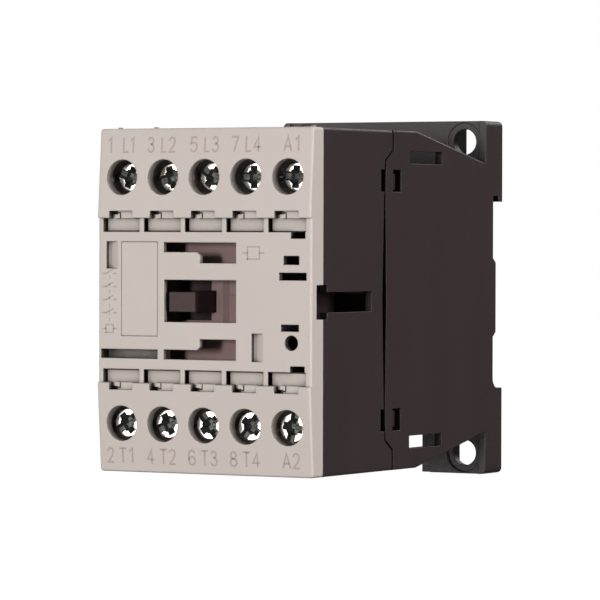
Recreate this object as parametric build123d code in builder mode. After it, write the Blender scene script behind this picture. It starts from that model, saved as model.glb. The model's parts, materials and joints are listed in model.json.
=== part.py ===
from build123d import *
import os

# Four-pole contactor for a 35 mm rail, in millimetres.
# +X is to the right, +Z is up, the front faces -Y and the mounting plane is Y = 0.
# The origin is the centre of the mounting holes. Top and bottom mirror each other about Z = 0.

# Overall size
WIDTH = 45.0
DEPTH = 75.0
PLATE_HEIGHT = 68.0
BODY_HEIGHT = 62.8
HALF_WIDTH = WIDTH / 2
HALF_BODY = BODY_HEIGHT / 2
HALF_PLATE = PLATE_HEIGHT / 2
WALL = 1.4
INNER_X = HALF_WIDTH - WALL
TOP_AND_BOTTOM = (1, -1)
LEFT_AND_RIGHT = (-1, 1)
CORNER_RADIUS = 0.6
RUNNING_GAP = 0.1

# Depths of the main layers, from the front to the back
FRONT_Y = -DEPTH
COVER_FACE_Y = -74.5
COVER_END_Y = -73.85
COVER_BACK_Y = -70.3
FLOOR_Y = -65.8
FLOOR_BACK_Y = -64.3
CHAMBER_BACK_Y = -51.0
PLATE_FRONT_Y = -6.87
EAR_FACE_Y = -6.3
CHAMBER_FLOOR_Y = -6.2
RAIL_FLOOR_Y = -3.8

# Terminals: five lanes, four for the poles and one for the coil
LANE_PITCH = 8.75
LANE_X = [LANE_PITCH * step for step in (-2, -1, 0, 1, 2)]
POLE_X = LANE_X[:4]
COIL_X = LANE_X[4]
LANE_HALF = 3.675
TERMINAL_Z = 22.5
TERMINAL_ZONE_Z = 15.1
LINE_NAMES = ["l1", "l2", "l3", "l4", "a1"]
LOAD_NAMES = ["t1", "t2", "t3", "t4", "a2"]
ACCESS_RADIUS = 3.25
TOWER_RADIUS = 3.85
TOWER_FRONT_Y = -72.6

# Terminal screws, clamps and strips
HEAD_RADIUS = 2.8
HEAD_THICKNESS = 2.6
SCREW_RADIUS = 1.75
SHANK_LENGTH = 8.6
TOP_HEAD_Y = -71.4
BOTTOM_HEAD_Y = -72.4
SCREW_ANGLES = (112, 73, 126, 90, 95, 54, 63, 141, 38, 12)
CLAMP_THICKNESS = 1.0
CLAMP_HALF = 3.0
CAVITY_FRONT_Y = {1: -68.8, -1: -69.8}
PAD_Y = (-61.9, -60.5)
STRIP_THICKNESS = PAD_Y[1] - PAD_Y[0]
STRIP_HALF = 2.9
STRIP_STEP_Z = 16.6
PAD_END_Z = 29.7
ARM_Y = (-53.0, -53.0 + STRIP_THICKNESS)
ARM_END_Z = 6.4

# Contacts
CARRIER_TRAVEL = 3.5
BRIDGE_TRAVEL = 2.5
TIP_RADIUS = 1.7
TIP_THICKNESS = 1.0
TIP_Z = 8.2
FIXED_TIP_Y = ARM_Y[0] - TIP_THICKNESS
MOVING_TIP_Y = FIXED_TIP_Y - BRIDGE_TRAVEL - 0.05
BRIDGE_Y = (MOVING_TIP_Y - TIP_THICKNESS - 0.8, MOVING_TIP_Y - TIP_THICKNESS)
BRIDGE_HALF = (2.2, 9.9)

# Contact carrier
POLE_CENTRE_X = (POLE_X[0] + POLE_X[3]) / 2
BEAM_X = (POLE_X[0] - 3.4, POLE_X[3] + 3.4)
BEAM_Y = (-63.9, -56.0)
BEAM_HALF_Z = 4.6
WINDOW_Y = (-62.4, BRIDGE_Y[1] + RUNNING_GAP)
WINDOW_HALF_X = 2.9
STEM_HALF_X = 3.5
BLOCK_X = (-7.65, -2.1)
BLOCK_Z = (-2.0, 1.65)
BLOCK_FRONT_Y = -74.0
YOKE_PLATE_Y = (-41.9, -39.5)
YOKE_PLATE_HALF = (12.0, 18.0)

# Magnet: E-shaped core and armature with their legs side by side along Z
STACK_HALF_X = 5.5
CORE_HALF_Z = 17.0
CENTRE_LEG_HALF = 5.0
OUTER_LEG_Z = 11.5
YOKE_THICKNESS = 5.8
CORE_Y = (-26.5, -7.7)
ARMATURE_Y = (-39.4, CORE_Y[0] - CARRIER_TRAVEL - RUNNING_GAP)
PIN_Y = -36.5
PIN_RADIUS = 1.25
RIVET_RADIUS = 1.1
RIVET_HEAD_RADIUS = 1.7
RIVET_HEAD = 0.5

# Coil
BOBBIN_Y = (-30.0, -13.6)
FLANGE_THICKNESS = 1.2
FLANGE_HALF = (12.5, 11.2)
TUBE_WALL = 0.9
WINDING_HALF = (11.6, 10.4)
LEAD_RADIUS = 0.35
COIL_STRIP_HALF = 1.9
COIL_STRIP_BACK_Y = -31.0

# Mounting
HOLE_X = 17.5
HOLE_Z = 30.0
HOLE_RADIUS = 2.45
HOLE_RING_RADIUS = 3.65
RAIL_TOP_Z = 18.48
RAIL_BOTTOM_Z = -17.5
EAR_GAP_HALF = 8.0

# Rail latch
LATCH_FLANGE_HALF = 7.5
LATCH_BODY_HALF = 6.2
LATCH_Z = (-26.7, -17.6)
LATCH_NOSE_Z = -15.2
LATCH_Y = (-4.4, -0.6)


def cuboid(x, y, z, mode=Mode.ADD):
    """Adds or cuts a box between the two values given on each axis."""
    with Locations((sum(x) / 2, sum(y) / 2, sum(z) / 2)):
        Box(abs(x[1] - x[0]), abs(y[1] - y[0]), abs(z[1] - z[0]), mode=mode)


def rod(x, y, z, radius, mode=Mode.ADD):
    """Adds or cuts a round bar along Y, between the two y values, centred on x and z."""
    with Locations(Location((x, sum(y) / 2, z), (90, 0, 0))):
        Cylinder(radius, abs(y[1] - y[0]), mode=mode)


def span(value, half):
    """Low and high limit around a middle value."""
    return (value - half, value + half)


def mirrored(low, high, side):
    """The range low to high on the upper side, or its mirror image on the lower side."""
    return (low, high) if side > 0 else (-high, -low)


def side_profile(points):
    """Face on the YZ plane with its corners at the given (y, z) points."""
    Polygon(*points, align=None)


def finish(piece, name):
    """Labels a finished piece and writes it as its own file."""
    piece.part.label = name
    export_step(piece.part, f"parts/{name}.step")


os.makedirs("parts", exist_ok=True)


# Front cover -------------------------------------------------------------------------------
LABEL_X = (-3.98, 3.84)
LABEL_Z = (12.53, 15.0)
LABEL_FLOOR_Y = -73.5
LABEL_SLIT = 0.32
LABEL_GROOVE = 0.22
NOTCH_X = (-2.45, 2.5)
NOTCH_TOP_Z = 16.36
NOTCH_FLOOR_Y = -74.3
SLOT_OUTER_Z = 10.65
SLOT_INNER_Z = 6.88
SLOT_X = (-8.46, 6.82)
SLOT_STEP_X = -0.78
WINDOW_X = (-8.36, 6.83)
WINDOW_HALF_Z = 3.85
MIDDLE_HALF_Z = 11.3
RECESS_Z = (-10.6, -8.9)
RECESS_END_X = -9.75
PLATE_X = (-17.6, -9.8)
PLATE_Z = (-6.5, 10.75)
PLATE_SEAT_Y = -73.5
THIN_PANEL_Y = -73.5
GROOVE_DEPTH = 0.8
GROOVE_FLAT = 0.4
COVER_EDGE_RADIUS = 0.35


def is_front_rim(edge):
    """True for the edges round the outside of the cover's front, leaving out its two short steps."""
    middle = edge.center()
    on_outline = abs(middle.X) > HALF_WIDTH - 0.4 or abs(middle.Z) > HALF_BODY - 0.4
    return on_outline and middle.Y < -73.5 and edge.length > 0.8


with BuildPart() as front_cover:
    with BuildSketch(Plane.YZ):
        side_profile([
            (COVER_BACK_Y, HALF_BODY),
            (COVER_END_Y, HALF_BODY),
            (FRONT_Y, TERMINAL_ZONE_Z),
            (COVER_FACE_Y, TERMINAL_ZONE_Z),
            (COVER_FACE_Y, -TERMINAL_ZONE_Z),
            (FRONT_Y, -TERMINAL_ZONE_Z),
            (COVER_END_Y, -HALF_BODY),
            (COVER_BACK_Y, -HALF_BODY),
        ])
    extrude(amount=HALF_WIDTH, both=True)
    fillet(front_cover.edges().filter_by(Axis.Y).filter_by(lambda e: e.length > 3), CORNER_RADIUS)
    fillet(front_cover.edges().filter_by(is_front_rim), COVER_EDGE_RADIUS)

    # Hollow behind the terminal rows and behind the middle panel
    for side in TOP_AND_BOTTOM:
        cuboid((-INNER_X, INNER_X), (COVER_BACK_Y, -72.4), mirrored(16.9, 30.1, side), Mode.SUBTRACT)
    cuboid((-9.6, 8.2), (COVER_BACK_Y, THIN_PANEL_Y), (-7.6, MIDDLE_HALF_Z), Mode.SUBTRACT)
    cuboid((-9.05, 8.2), (COVER_BACK_Y, THIN_PANEL_Y), (-MIDDLE_HALF_Z, -7.5), Mode.SUBTRACT)
    cuboid((-INNER_X, -9.5), (COVER_BACK_Y, -72.2), (-7.6, MIDDLE_HALF_Z), Mode.SUBTRACT)
    cuboid((RECESS_END_X, -9.0), (COVER_BACK_Y, -71.2), (-MIDDLE_HALF_Z, -7.5), Mode.SUBTRACT)
    cuboid((9.2, INNER_X), (COVER_BACK_Y, -73.2), (-MIDDLE_HALF_Z, MIDDLE_HALF_Z), Mode.SUBTRACT)

    for side in TOP_AND_BOTTOM:
        for x in LANE_X:
            # Screw access hole, with room behind it for the collar of the contact housing
            rod(x, (FRONT_Y - 1, COVER_BACK_Y), side * TERMINAL_Z, ACCESS_RADIUS, Mode.SUBTRACT)
            rod(x, (TOWER_FRONT_Y, COVER_BACK_Y), side * TERMINAL_Z, TOWER_RADIUS + 0.15, Mode.SUBTRACT)
            # Label slot with a slit along its left end, and its notch in the terminal row
            left = x + LABEL_X[0]
            cuboid((left, x + LABEL_X[1]), (FRONT_Y, LABEL_FLOOR_Y), mirrored(*LABEL_Z, side), Mode.SUBTRACT)
            cuboid((left, left + LABEL_SLIT), (FRONT_Y, COVER_BACK_Y), mirrored(*LABEL_Z, side),
                   Mode.SUBTRACT)
            cuboid((left, x + LABEL_X[1]), (LABEL_FLOOR_Y - 1, LABEL_FLOOR_Y + 0.6),
                   mirrored(LABEL_Z[0], LABEL_Z[0] + LABEL_GROOVE, side), Mode.SUBTRACT)
            cuboid((max(left - 0.6, -INNER_X), left + LABEL_SLIT), (-74.2, COVER_BACK_Y),
                   mirrored(LABEL_Z[0], LABEL_Z[1] + 0.2, side), Mode.SUBTRACT)
            # Notch: shallow floor with a deep corner and a curved groove round the tongue beside it
            notch_left = x + NOTCH_X[0]
            cuboid((notch_left, x + NOTCH_X[1]), (FRONT_Y - 1, NOTCH_FLOOR_Y),
                   mirrored(LABEL_Z[1] - 0.1, NOTCH_TOP_Z, side), Mode.SUBTRACT)
            cuboid((notch_left, x - 1.6), (FRONT_Y - 1, LABEL_FLOOR_Y),
                   mirrored(LABEL_Z[1] - 0.1, NOTCH_TOP_Z, side), Mode.SUBTRACT)
            cuboid((notch_left, x - 0.9), (FRONT_Y - 1, -72.3),
                   mirrored(NOTCH_TOP_Z - 0.65, NOTCH_TOP_Z, side), Mode.SUBTRACT)
            groove = mirrored(LABEL_Z[1] - 0.1, NOTCH_TOP_Z - 0.25, side)
            cuboid((x - 0.5, x - 0.28), (FRONT_Y - 1, NOTCH_FLOOR_Y + 0.5), groove, Mode.SUBTRACT)
            cuboid((x - 1.0, x - 0.28), (FRONT_Y - 1, NOTCH_FLOOR_Y + 0.5),
                   mirrored(NOTCH_TOP_Z - 0.5, NOTCH_TOP_Z - 0.25, side), Mode.SUBTRACT)

    # Main window and the two L-shaped slots for clip-on auxiliary contacts
    cuboid(WINDOW_X, (FRONT_Y, COVER_BACK_Y), span(0, WINDOW_HALF_Z), Mode.SUBTRACT)
    for side in TOP_AND_BOTTOM:
        with BuildSketch(Plane.XZ.offset(-COVER_BACK_Y)):
            Polygon(
                (SLOT_X[0], side * SLOT_OUTER_Z),
                (SLOT_X[1], side * SLOT_OUTER_Z),
                (SLOT_X[1], side * SLOT_INNER_Z),
                (SLOT_STEP_X, side * SLOT_INNER_Z),
                (SLOT_STEP_X, side * 8.3),
                (SLOT_STEP_X - 0.62, side * 8.86),
                (SLOT_X[0], side * 8.86),
                align=None,
            )
        extrude(amount=DEPTH + COVER_BACK_Y, mode=Mode.SUBTRACT)

    # Small coding and test openings at the right
    for x, z in (
        ((18.2, 21.2), (11.38, 12.6)),
        ((16.7, 19.95), (6.7, 8.3)),
        ((15.8, 21.45), (3.9, 5.3)),
        ((16.2, 19.9), (-5.25, -4.0)),
        ((18.1, 21.1), (-12.6, -11.45)),
    ):
        cuboid(x, (FRONT_Y, COVER_BACK_Y), z, Mode.SUBTRACT)
    rod(18.35, (FRONT_Y, COVER_BACK_Y), -7.3, 1.38, Mode.SUBTRACT)

    # Seat for the marking plate and the long recess below it
    cuboid(PLATE_X, (FRONT_Y, PLATE_SEAT_Y), PLATE_Z, Mode.SUBTRACT)
    cuboid((-21.95, RECESS_END_X), (FRONT_Y, -71.7), RECESS_Z, Mode.SUBTRACT)

    # Two pry grooves with a straight left wall and a ramp to the right
    for left, right, z in ((-20.8, -18.3, (5.8, 10.8)), (10.1, 12.5, (-10.8, -5.7))):
        with BuildSketch(Plane.XY.offset(z[0])):
            Polygon(
                (left, FRONT_Y),
                (left, COVER_FACE_Y + GROOVE_DEPTH),
                (left + GROOVE_FLAT, COVER_FACE_Y + GROOVE_DEPTH),
                (right, COVER_FACE_Y),
                (right, FRONT_Y),
                align=None,
            )
        extrude(amount=z[1] - z[0], mode=Mode.SUBTRACT)

    # Ends of the interlock opening cut into the side rims
    for side in LEFT_AND_RIGHT:
        cuboid(mirrored(INNER_X - 0.5, HALF_WIDTH, side), (-72.7, COVER_BACK_Y), (-3.1, 3.1), Mode.SUBTRACT)

    # Snap legs with outward noses
    for side in TOP_AND_BOTTOM:
        for x in (-11.0, 11.0):
            cuboid(span(x, 0.9), (COVER_BACK_Y - 0.2, -66.6), mirrored(12.2, 13.2, side))
            cuboid(span(x, 0.9), (-68.6, -67.4), mirrored(13.2, 13.6, side))

    # Moulding nubs along the top edge
    for x in (-19.3, -11.6, 21.4):
        cuboid(span(x, 0.25), (-72.4, -71.6), (HALF_BODY, HALF_BODY + 0.25))
finish(front_cover, "front_cover")

with BuildPart() as marking_plate:
    fit = 0.07
    cuboid(span(sum(PLATE_X) / 2, (PLATE_X[1] - PLATE_X[0]) / 2 - fit), (COVER_FACE_Y, PLATE_SEAT_Y),
           span(sum(PLATE_Z) / 2, (PLATE_Z[1] - PLATE_Z[0]) / 2 - fit))
    fillet(marking_plate.edges().filter_by(Axis.Y), 0.2)
finish(marking_plate, "marking_plate")


# Contact housing ---------------------------------------------------------------------------
STEP_Z = 27.75
STEP_END_Z = 25.85
LATCH_WINDOW_Z = (20.0, 24.1)
CONTACT_BACK = [(-44.5, HALF_BODY), (-44.5, STEP_Z), (-47.3, STEP_END_Z), (-47.65, 18.5), (-48.25, 0)]
ENTRY_Y = (-67.4, -62.0)
ENTRY_HALF_X = 3.2
CAVITY_HALF_X = 3.25
CAVITY_Z = (17.4, 29.9)
CHAMBER_HALF_Z = 13.9
FRONT_RECESS_HALF_Z = 11.4
FRONT_RECESS_X = (-INNER_X, 8.2)
HOOK_X = (19.2, 20.6)
HOOK_Z = (20.4, 23.4)
BASE_INNER_X = 21.0

with BuildPart() as contact_housing:
    back = CONTACT_BACK + [(y, -z) for y, z in reversed(CONTACT_BACK[:-1])]
    with BuildSketch(Plane.YZ):
        side_profile([(COVER_BACK_Y, -HALF_BODY), (COVER_BACK_Y, HALF_BODY)] + back)
    extrude(amount=HALF_WIDTH, both=True)
    corners = contact_housing.edges().filter_by(Axis.Y).filter_by(lambda e: e.length > 20)
    fillet(corners, CORNER_RADIUS)

    # Front opening of the pole chambers, and the deep well behind the cover's small openings
    cuboid(FRONT_RECESS_X, (COVER_BACK_Y, FLOOR_BACK_Y), span(0, FRONT_RECESS_HALF_Z), Mode.SUBTRACT)
    cuboid((14.4, INNER_X - 0.2), (COVER_BACK_Y, -56.0), (-12.8, 12.8), Mode.SUBTRACT)

    for x in LANE_X:
        cuboid(span(x, LANE_HALF), (FLOOR_BACK_Y, CHAMBER_BACK_Y), span(0, CHAMBER_HALF_Z), Mode.SUBTRACT)
        for side in TOP_AND_BOTTOM:
            z = side * TERMINAL_Z
            # Screw collar, terminal cavity, conductor entry and room for the screw's tip
            rod(x, (TOWER_FRONT_Y, COVER_BACK_Y), z, TOWER_RADIUS)
            rod(x, (TOWER_FRONT_Y, -68.0), z, ACCESS_RADIUS, Mode.SUBTRACT)
            cuboid(span(x, CAVITY_HALF_X), (CAVITY_FRONT_Y[side], PAD_Y[1]), mirrored(*CAVITY_Z, side),
                   Mode.SUBTRACT)
            cuboid(span(x, ENTRY_HALF_X), ENTRY_Y, mirrored(CAVITY_Z[1] - 0.1, HALF_BODY, side),
                   Mode.SUBTRACT)
            rod(x, (PAD_Y[1] - 0.1, -55.4), z, SCREW_RADIUS + 0.4, Mode.SUBTRACT)
            # Passage of the contact strip from the terminal into the chamber
            passage = span(x, STRIP_HALF + 0.1)
            cuboid(passage, (PAD_Y[0] - 0.1, ARM_Y[1] + 0.1), mirrored(16.5, 18.1, side), Mode.SUBTRACT)
            cuboid(passage, (ARM_Y[0] - 0.1, ARM_Y[1] + 0.1), mirrored(13.8, 18.1, side), Mode.SUBTRACT)
            # Hollow behind the terminal
            cuboid(span(x, 3.4), (-54.2, -44.0), mirrored(19.2, 29.9, side), Mode.SUBTRACT)

    # Slot for the carrier's beam and guide for its stem
    cuboid((BEAM_X[0] - 0.4, BEAM_X[1] + 0.4), (FLOOR_BACK_Y, CHAMBER_BACK_Y), span(0, BEAM_HALF_Z + 0.4),
           Mode.SUBTRACT)
    cuboid(span(POLE_CENTRE_X, STEM_HALF_X + RUNNING_GAP), (CHAMBER_BACK_Y, -47.0),
           span(0, BEAM_HALF_Z + RUNNING_GAP), Mode.SUBTRACT)

    # Open back behind the chamber wall, and the coil strips' passage
    cuboid((-INNER_X, INNER_X), (-49.4, -44.0), (-16.2, 16.2), Mode.SUBTRACT)
    for side in TOP_AND_BOTTOM:
        cuboid(span(COIL_X, COIL_STRIP_HALF + 0.1), (PAD_Y[0] - 0.1, -46.0), mirrored(16.5, 18.1, side),
               Mode.SUBTRACT)

    # T-shaped interlock openings, latch windows and snap hooks in both sides
    for side in LEFT_AND_RIGHT:
        wall = mirrored(INNER_X - 0.8, HALF_WIDTH, side)
        cuboid(wall, (COVER_BACK_Y, -68.75), (-3.1, 3.1), Mode.SUBTRACT)
        cuboid(wall, (-68.8, -52.3), (-1.9, 1.8), Mode.SUBTRACT)
        for end in TOP_AND_BOTTOM:
            cuboid(wall, (-48.8, -46.0), mirrored(*LATCH_WINDOW_Z, end), Mode.SUBTRACT)
            cuboid(mirrored(*HOOK_X, side), (-54.4, -41.6), mirrored(*HOOK_Z, end))
            cuboid(mirrored(HOOK_X[1], HOOK_X[1] + 1.2, side), (-43.8, -42.2), mirrored(*HOOK_Z, end))

    # Slots for the cover's snap legs
    for side in TOP_AND_BOTTOM:
        for x in (-11.0, 11.0):
            cuboid(span(x, 1.1), (COVER_BACK_Y, -68.8), mirrored(12.1, 13.8, side), Mode.SUBTRACT)
            cuboid(span(x, 1.1), (-68.9, -66.2), mirrored(12.1, 13.8, side), Mode.SUBTRACT)
finish(contact_housing, "contact_housing")


# Arc cover: closes the pole chambers behind the windows ------------------------------------
ARC_COVER_GAP = 0.1
PAD_X = (-3.04, -0.8)
PAD_TOP_Y = FLOOR_Y - 0.8
PAD_END_X = 0.4
PAD_HALF_Z = 4.6
BEAM_OPENING_X = -11.0
BEAM_OPENING_HALF_Z = 3.65
SEAM_Z = (0.85, 1.05)

with BuildPart() as arc_cover:
    cuboid((FRONT_RECESS_X[0] + ARC_COVER_GAP, FRONT_RECESS_X[1] - ARC_COVER_GAP), (FLOOR_Y, FLOOR_BACK_Y),
           span(0, FRONT_RECESS_HALF_Z - ARC_COVER_GAP))
    # Raised pad that slopes down to the right, thin moulding seam and a rib along the right end
    with BuildSketch(Plane.XY):
        with BuildLine():
            Polyline((PAD_X[0], FLOOR_Y), (PAD_X[0], PAD_TOP_Y), (PAD_X[1], PAD_TOP_Y), (PAD_END_X, FLOOR_Y),
                     close=True)
        make_face()
    extrude(amount=PAD_HALF_Z, both=True)
    cuboid((PAD_END_X - 0.3, FRONT_RECESS_X[1] - ARC_COVER_GAP), (FLOOR_Y - 0.15, FLOOR_Y), SEAM_Z)
    cuboid((FRONT_RECESS_X[1] - 0.4, FRONT_RECESS_X[1] - ARC_COVER_GAP), (FLOOR_Y - 1.4, FLOOR_Y),
           span(0, FRONT_RECESS_HALF_Z - ARC_COVER_GAP))
    # Openings for the carrier's beam and its block
    cuboid((BEAM_OPENING_X, PAD_X[0]), (FLOOR_Y - 1, FLOOR_BACK_Y), span(0, BEAM_OPENING_HALF_Z),
           Mode.SUBTRACT)
    cuboid((PAD_X[0], BLOCK_X[1] + ARC_COVER_GAP), (FLOOR_Y - 1, FLOOR_BACK_Y),
           (BLOCK_Z[0] - 0.2, BLOCK_Z[1] + 0.2), Mode.SUBTRACT)
finish(arc_cover, "arc_cover")


# Base housing ------------------------------------------------------------------------------
BASE_FRONT_Y = -43.95
BASE_FRONT = [(BASE_FRONT_Y, STEP_Z - 0.15), (-46.75, STEP_END_Z - 0.15), (-47.05, 18.5), (-46.6, 0)]
LIP_X = 22.1
CHEEK_TOP_Y = -34.75
CHEEK_FOOT_Z = 25.9
MAIN_HALF_Z = 25.1
MAIN_INNER_Z = 23.6
SHOULDER_Y = (BASE_FRONT_Y, -38.5)
SIDE_SLOT_Y = (-37.7, -24.8)
SIDE_SLOT_Z = (25.3, 27.65)
HOLLOW_Y = -4.2

with BuildPart() as base_housing:
    front = [(BASE_FRONT_Y, HALF_BODY)] + BASE_FRONT + [(y, -z) for y, z in reversed(BASE_FRONT[:-1])]
    with BuildSketch(Plane.YZ):
        side_profile(front + [
            (BASE_FRONT_Y, -HALF_BODY),
            (CHEEK_TOP_Y, -HALF_BODY),
            (PLATE_FRONT_Y, -CHEEK_FOOT_Z),
            (0, -CHEEK_FOOT_Z),
            (0, CHEEK_FOOT_Z),
            (PLATE_FRONT_Y, CHEEK_FOOT_Z),
            (CHEEK_TOP_Y, HALF_BODY),
        ])
    extrude(amount=HALF_WIDTH, both=True)
    rims = base_housing.edges().filter_by(
        lambda e: abs(abs(e.center().X) - HALF_WIDTH) < 0.01 and abs(e.center().Z) > 26 and e.length > 5
    )
    fillet(rims, 0.4)

    # Mounting plate with four ears
    cuboid((-HALF_WIDTH, HALF_WIDTH), (PLATE_FRONT_Y, 0), (-HALF_PLATE, HALF_PLATE))
    fillet(base_housing.edges().filter_by(Axis.Y).filter_by(
        lambda e: abs(abs(e.center().Z) - HALF_PLATE) < 0.01), 1.0)

    # Room between the cheeks in front of the ears, and the hollow shoulders
    for side in TOP_AND_BOTTOM:
        cuboid((-BASE_INNER_X, BASE_INNER_X), (SHOULDER_Y[1], EAR_FACE_Y),
               mirrored(MAIN_HALF_Z, HALF_PLATE, side), Mode.SUBTRACT)
        cuboid((-BASE_INNER_X, BASE_INNER_X), (SHOULDER_Y[0] - 1, SHOULDER_Y[1] - WALL),
               mirrored(MAIN_HALF_Z + WALL, HALF_BODY - WALL, side), Mode.SUBTRACT)
    cuboid((-BASE_INNER_X, BASE_INNER_X), (-48.5, CHAMBER_FLOOR_Y), span(0, MAIN_INNER_Z), Mode.SUBTRACT)

    for side in LEFT_AND_RIGHT:
        # Thin lip along the front edge, beside the gap between the two housings
        lip = mirrored(BASE_INNER_X - 0.1, LIP_X, side)
        cuboid(lip, (-48.5, -45.0), span(0, STEP_END_Z - 0.4), Mode.SUBTRACT)
        for end in TOP_AND_BOTTOM:
            cuboid(lip, (BASE_FRONT_Y - 1, -42.4), mirrored(STEP_Z + 0.2, HALF_BODY - WALL, end),
                   Mode.SUBTRACT)
        cheek = mirrored(BASE_INNER_X - 0.2, HALF_WIDTH, side)
        for end in TOP_AND_BOTTOM:
            cuboid(cheek, SIDE_SLOT_Y, mirrored(*SIDE_SLOT_Z, end), Mode.SUBTRACT)
            cuboid(cheek, (-44.3, -41.1), mirrored(*LATCH_WINDOW_Z, end), Mode.SUBTRACT)
            # Mounting hole with its ring, and the hollow behind the ear
            ring_y = EAR_FACE_Y + (0.2 if end > 0 else 0.45)
            rod(side * HOLE_X, (EAR_FACE_Y - 1, ring_y), end * HOLE_Z, HOLE_RING_RADIUS, Mode.SUBTRACT)
            rod(side * HOLE_X, (EAR_FACE_Y - 1, 0), end * HOLE_Z, HOLE_RADIUS, Mode.SUBTRACT)
        cuboid(mirrored(14.7, 21.2, side), (HOLLOW_Y, 0), (26.6, 32.8), Mode.SUBTRACT)
        cuboid(mirrored(13.4, 21.2, side), (HOLLOW_Y, 0), (-32.8, -26.6), Mode.SUBTRACT)
        cuboid(mirrored(9.2, 12.2, side), (HOLLOW_Y, 0), (-32.8, -26.6), Mode.SUBTRACT)
        cuboid(mirrored(EAR_GAP_HALF, 10.2, side), (PLATE_FRONT_Y, -5.4), (-HALF_PLATE, -26.0), Mode.SUBTRACT)
    cuboid((-13.3, 13.3), (HOLLOW_Y, 0), (26.6, 32.8), Mode.SUBTRACT)
    cuboid(span(0, EAR_GAP_HALF), (PLATE_FRONT_Y, 0), (-HALF_PLATE, -MAIN_HALF_Z), Mode.SUBTRACT)

    # Recess for the rail, with the fixed hook at its top edge
    with BuildSketch(Plane.YZ):
        with BuildLine():
            Polyline(
                (-1.8, RAIL_BOTTOM_Z),
                (1, RAIL_BOTTOM_Z),
                (1, RAIL_TOP_Z),
                (-1.5, RAIL_TOP_Z),
                (-1.5, 19.6),
                (RAIL_FLOOR_Y, 19.6),
                (RAIL_FLOOR_Y, 7.6),
                (-2.65, 6.7),
                (-2.65, -6.7),
                (RAIL_FLOOR_Y, -7.6),
                (RAIL_FLOOR_Y, RAIL_BOTTOM_Z + 2),
            )
            RadiusArc((RAIL_FLOOR_Y, RAIL_BOTTOM_Z + 2), (-1.8, RAIL_BOTTOM_Z), -2.0)
        make_face()
    extrude(amount=HALF_WIDTH, both=True, mode=Mode.SUBTRACT)

    # Stepped channel for the latch, with the post its spring rests on
    cuboid(span(0, LATCH_FLANGE_HALF + RUNNING_GAP), (LATCH_Y[0] - RUNNING_GAP, -2.9), (-27.0, -16.0),
           Mode.SUBTRACT)
    cuboid(span(0, LATCH_BODY_HALF + RUNNING_GAP), (-3.0, 0.5), (-27.0, -16.0), Mode.SUBTRACT)
    cuboid((-1.3, 1.3), (LATCH_Y[0] - RUNNING_GAP, -1.2), (-24.7, -23.8))

    # Seats that hold the core's yoke from both sides
    for side in LEFT_AND_RIGHT:
        seat = mirrored(STACK_HALF_X + 1.3, STACK_HALF_X + 2.8, side)
        cuboid(seat, (-12.0, CHAMBER_FLOOR_Y), (-15.0, 15.0))
finish(base_housing, "base_housing")


# Terminal screws and clamp plates ----------------------------------------------------------
CROSS_WIDTH = 1.4
CROSS_LENGTH = 4.3
CROSS_DEPTH = 1.7
DRIVE_SLOT_DEPTH = 1.0

TERMINALS = [(name, x, 1, TOP_HEAD_Y) for name, x in zip(LINE_NAMES, LANE_X)]
TERMINALS += [(name, x, -1, BOTTOM_HEAD_Y) for name, x in zip(LOAD_NAMES, LANE_X)]

for (name, x, side, head_y), angle in zip(TERMINALS, SCREW_ANGLES):
    z = side * TERMINAL_Z
    with BuildPart() as screw:
        rod(x, (head_y, head_y + HEAD_THICKNESS), z, HEAD_RADIUS)
        fillet(screw.edges().group_by(Axis.Y)[0], 0.4)
        rod(x, (head_y + HEAD_THICKNESS, head_y + HEAD_THICKNESS + SHANK_LENGTH), z, SCREW_RADIUS)
        chamfer(screw.edges().group_by(Axis.Y)[-1], 0.4)
        with Locations(Location((x, head_y + CROSS_DEPTH / 2, z), (0, angle, 0))):
            Box(CROSS_LENGTH, CROSS_DEPTH, CROSS_WIDTH, mode=Mode.SUBTRACT)
            Box(CROSS_WIDTH, CROSS_DEPTH, CROSS_LENGTH, mode=Mode.SUBTRACT)
        with Locations(Location((x, head_y + DRIVE_SLOT_DEPTH / 2, z), (0, angle, 0))):
            Box(CROSS_WIDTH, DRIVE_SLOT_DEPTH, 2 * HEAD_RADIUS + 1, mode=Mode.SUBTRACT)
    finish(screw, f"terminal_screw_{name}")

    clamp_front = head_y + HEAD_THICKNESS + RUNNING_GAP
    clamp_back = clamp_front + CLAMP_THICKNESS
    with BuildPart() as clamp:
        cuboid(span(x, CLAMP_HALF), (clamp_front, clamp_back), span(z, CLAMP_HALF))
        for end in TOP_AND_BOTTOM:
            lip = span(z + end * (CLAMP_HALF - 0.35), 0.35)
            cuboid(span(x, CLAMP_HALF), (clamp_back, clamp_back + 0.35), lip)
        rod(x, (clamp_front, clamp_back + 1), z, SCREW_RADIUS + 0.2, Mode.SUBTRACT)
        chamfer(clamp.edges().filter_by(Axis.Y).filter_by(lambda e: e.length > 1.2), 0.3)
    finish(clamp, f"terminal_clamp_{name}")


# Fixed contacts and coil terminal strips ---------------------------------------------------
for name, x, side, _ in TERMINALS:
    coil_strip = x == COIL_X
    half = COIL_STRIP_HALF if coil_strip else STRIP_HALF
    with BuildPart() as strip:
        cuboid(span(x, STRIP_HALF), PAD_Y, mirrored(STRIP_STEP_Z, PAD_END_Z, side))
        back_y = COIL_STRIP_BACK_Y if coil_strip else ARM_Y[1]
        step_z = mirrored(STRIP_STEP_Z, STRIP_STEP_Z + STRIP_THICKNESS, side)
        cuboid(span(x, half), (PAD_Y[0], back_y), step_z)
        if not coil_strip:
            cuboid(span(x, half), ARM_Y, mirrored(ARM_END_Z, STRIP_STEP_Z + STRIP_THICKNESS, side))
        rod(x, (PAD_Y[0] - 1, PAD_Y[1] + 1), side * TERMINAL_Z, SCREW_RADIUS + 0.05, Mode.SUBTRACT)
    finish(strip, f"coil_terminal_{name}" if coil_strip else f"fixed_contact_{name}")

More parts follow.
